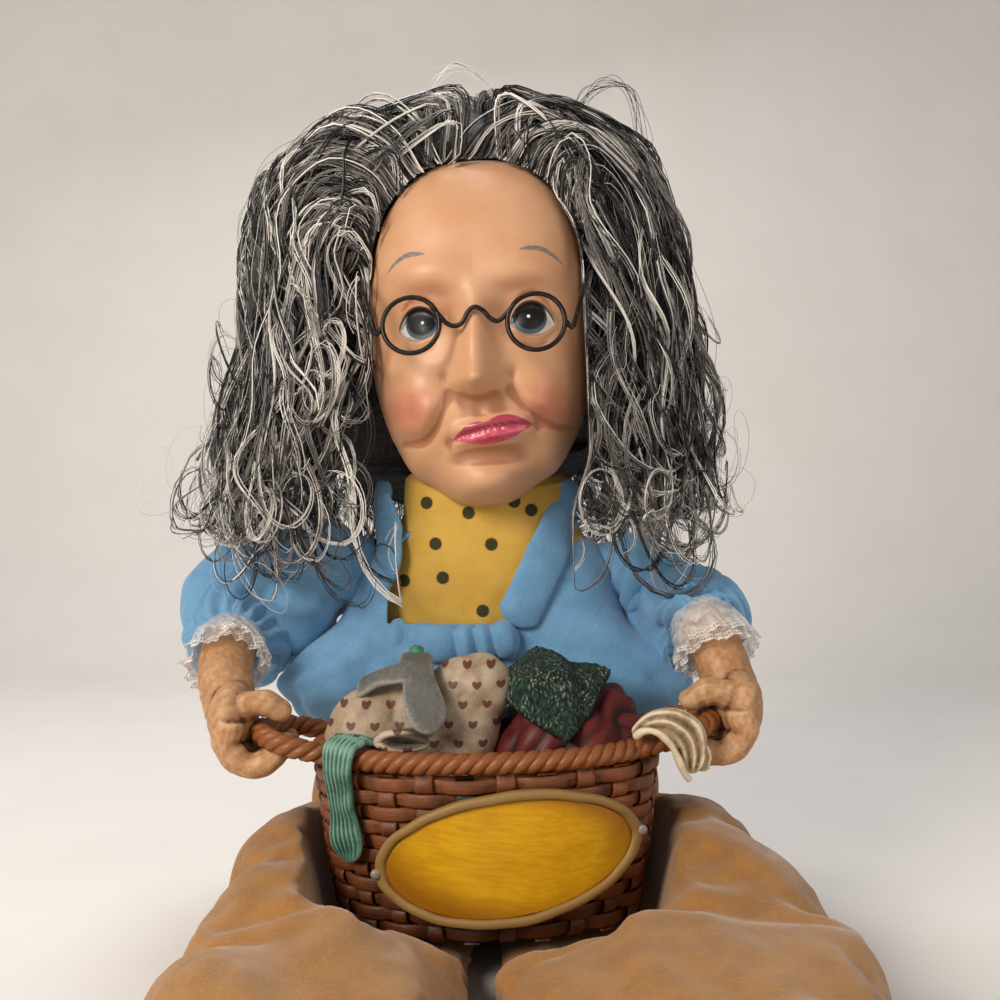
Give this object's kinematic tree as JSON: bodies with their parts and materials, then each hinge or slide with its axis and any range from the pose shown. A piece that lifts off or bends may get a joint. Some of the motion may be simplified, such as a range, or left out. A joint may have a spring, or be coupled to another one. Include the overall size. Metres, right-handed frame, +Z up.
{
  "type": "shelf sitter doll",
  "caption": "Sitting cloth doll with cast resin head and hands, wild grey wig, wire spectacles and a laundry basket on its lap",
  "frame": {"origin": "middle of the flat seat, on the surface that the doll sits on", "axes": "+Z up, the doll faces -Y with its legs out along -Y, +X is the doll's own left"},
  "size_m": [0.2277, 0.3028, 0.297],
  "materials": {
    "muslin": "plain woven cotton, stuffed",
    "yellow_knit": "rib knit with small dark green dots",
    "blue_flannel": "brushed cotton flannel",
    "tan_flannel": "brushed cotton flannel",
    "shoe_resin": "painted resin, satin",
    "face_resin": "cast resin with painted features, satin",
    "wig_hair": "synthetic hair, black, grey and white strands",
    "black_wire": "black-brown coated wire",
    "white_lace": "sheer lace",
    "hand_resin": "cast resin, antiqued brown",
    "wicker_resin": "cast resin in a basket weave, antiqued",
    "rope_resin": "cast resin in a rope twist, antiqued",
    "plaque_paint": "yellow brushed paint",
    "border_wood": "resin painted as brown wood",
    "nail_paint": "resin painted grey",
    "maroon_resin": "painted resin folds",
    "cream_resin": "painted resin folds",
    "grey_resin": "painted resin",
    "green_resin": "stippled and dry-brushed resin",
    "teal_resin": "painted ribbed resin"
  },
  "bodies": {
    "torso": {"body_bag": "muslin", "pellet_bag": "muslin", "neck_tie": "muslin", "shirt_top": "yellow_knit", "shirt_collar": "yellow_knit", "robe_bodice": "blue_flannel", "robe_lapel_left": "blue_flannel", "robe_lapel_right": "blue_flannel", "robe_front_ruffle": "blue_flannel", "trouser_seat": "tan_flannel", "trouser_thigh_left": "tan_flannel", "trouser_thigh_right": "tan_flannel"},
    "head": {"head_shell": "face_resin", "wig_cap": "wig_hair", "glasses_frame": "black_wire", "hair_crown": "wig_hair", "hair_right_front": "wig_hair", "hair_right_back": "wig_hair", "hair_left_front": "wig_hair", "hair_left_back": "wig_hair"},
    "arms": {"arm_left": "muslin", "arm_right": "muslin", "sleeve_left": "blue_flannel", "sleeve_right": "blue_flannel", "cuff_left": "white_lace", "cuff_right": "white_lace", "hand_left": "hand_resin", "hand_right": "hand_resin", "basket_shell": "wicker_resin", "basket_rim": "rope_resin", "handle_left": "rope_resin", "handle_right": "rope_resin", "plaque_board": "plaque_paint", "plaque_border": "border_wood", "plaque_nail_left": "nail_paint", "plaque_nail_right": "nail_paint", "laundry_bed": "maroon_resin", "laundry_maroon_cloth": "maroon_resin", "laundry_cream_hearts": "cream_resin", "laundry_cream_cloth": "cream_resin", "laundry_grey_sock": "grey_resin", "laundry_green_towel": "green_resin", "laundry_teal_sock": "teal_resin"},
    "lower_leg_left": {"trouser_leg_left": "tan_flannel", "shoe_left": "shoe_resin"},
    "lower_leg_right": {"trouser_leg_right": "tan_flannel", "shoe_right": "shoe_resin"}
  },
  "joints": [
    {"name": "head_turn", "type": "hinge", "parent": "torso", "child": "head", "pos_m": [0, 0, 0.138], "axis": [0, 0, 1], "range_deg": [-20, 20], "deforming": ["hair_crown", "hair_right_front", "hair_right_back", "hair_left_front", "hair_left_back"]},
    {"name": "arms_lift", "type": "hinge", "parent": "torso", "child": "arms", "pos_m": [0, 0, 0.122], "axis": [1, 0, 0], "range_deg": [-25, 0]},
    {"name": "knee_left", "type": "hinge", "parent": "torso", "child": "lower_leg_left", "pos_m": [0.055, -0.1122, 0], "axis": [1, 0, 0], "range_deg": [0, 90]},
    {"name": "knee_right", "type": "hinge", "parent": "torso", "child": "lower_leg_right", "pos_m": [-0.044, -0.1122, 0], "axis": [1, 0, 0], "range_deg": [0, 90]}
  ]
}
